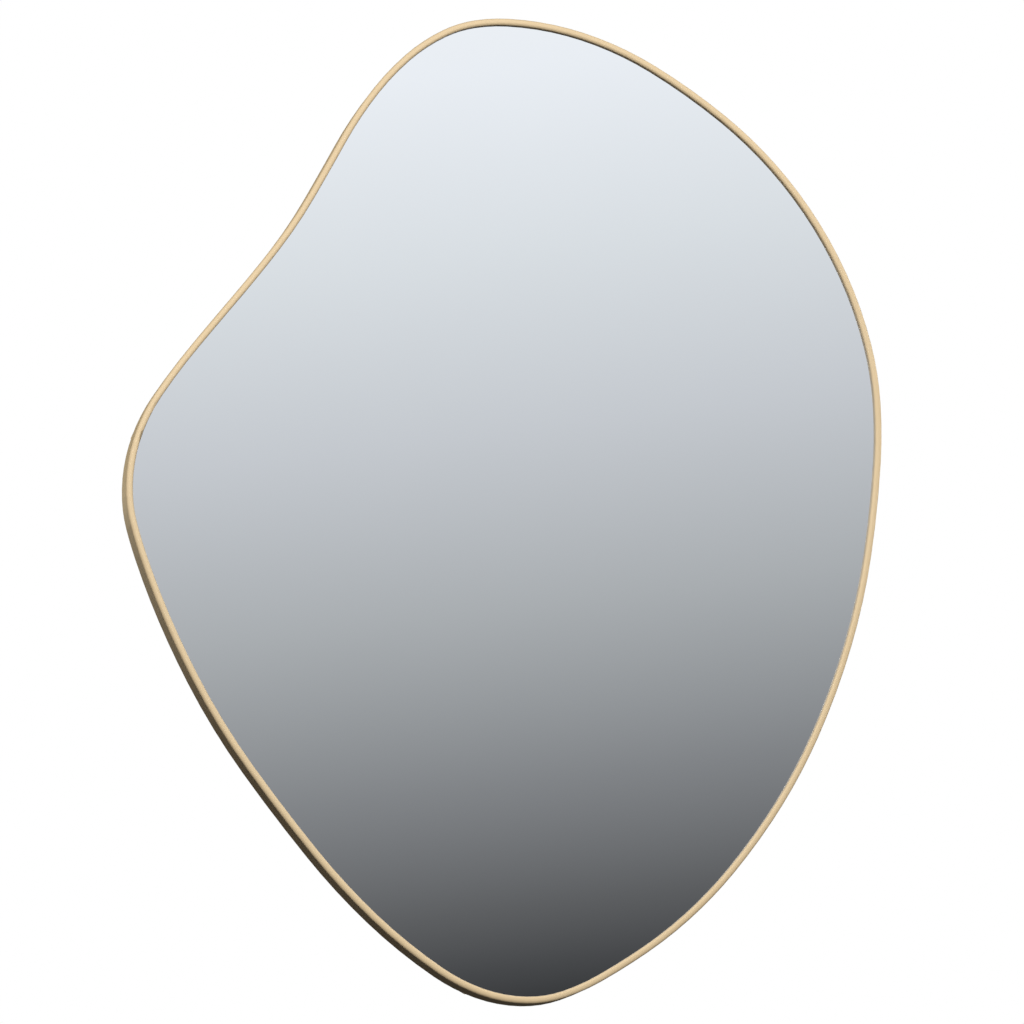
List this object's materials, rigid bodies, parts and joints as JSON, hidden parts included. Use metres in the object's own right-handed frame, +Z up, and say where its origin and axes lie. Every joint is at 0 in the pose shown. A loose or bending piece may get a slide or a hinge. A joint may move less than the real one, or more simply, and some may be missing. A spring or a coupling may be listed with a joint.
{
  "type": "wall mirror",
  "caption": "Wall mirror with an irregular pebble outline: a pane set in a thin metal tray frame, on a board with swinging D-ring hangers.",
  "frame": {"origin": "the point of the wall midway between the two wall hooks, at the height where the hanger rings bear on them", "axes": "+Z up, -Y out of the wall towards the viewer, +X to the right as seen from the front"},
  "size_m": [0.6181, 0.026, 0.8],
  "materials": {
    "frame": "satin champagne gold over rolled steel strip",
    "glass": "silvered float glass, polished",
    "film": "matt vinyl safety film",
    "board": "medium density fibreboard, painted matt black",
    "screws": "bright zinc plate",
    "tabs": "satin champagne gold, coated with the frame after welding",
    "tape": "white polyethylene foam with adhesive on both faces",
    "bumpers": "matt black rubber",
    "hangers": "bright zinc plate"
  },
  "bodies": {
    "mirror": {"frame_rim": "frame", "mirror_glass": "glass", "safety_film": "film", "backing_board": "board", "tab_screws": "screws", "frame_tab_1": "tabs", "frame_tab_2": "tabs", "frame_tab_3": "tabs", "frame_tab_4": "tabs", "frame_tab_5": "tabs", "frame_tab_6": "tabs", "frame_tab_7": "tabs", "frame_tab_8": "tabs", "foam_tape_1": "tape", "foam_tape_2": "tape", "foam_tape_3": "tape", "foam_tape_4": "tape", "foam_tape_5": "tape", "wall_bumper_1": "bumpers", "wall_bumper_2": "bumpers", "wall_bumper_3": "bumpers", "wall_bumper_4": "bumpers", "hanger_strap_left": "hangers", "hanger_screws_left": "screws", "hanger_strap_right": "hangers", "hanger_screws_right": "screws"},
    "ring_left": {"hanger_ring_left": "hangers"},
    "ring_right": {"hanger_ring_right": "hangers"}
  },
  "joints": [
    {"name": "left_ring_swing", "type": "hinge", "parent": "mirror", "child": "ring_left", "pos_m": [-0.12, -0.00535, -0.0144], "axis": [1, 0, 0], "range_deg": [0, 180]},
    {"name": "right_ring_swing", "type": "hinge", "parent": "mirror", "child": "ring_right", "pos_m": [0.12, -0.00535, -0.0144], "axis": [1, 0, 0], "range_deg": [0, 180]}
  ]
}
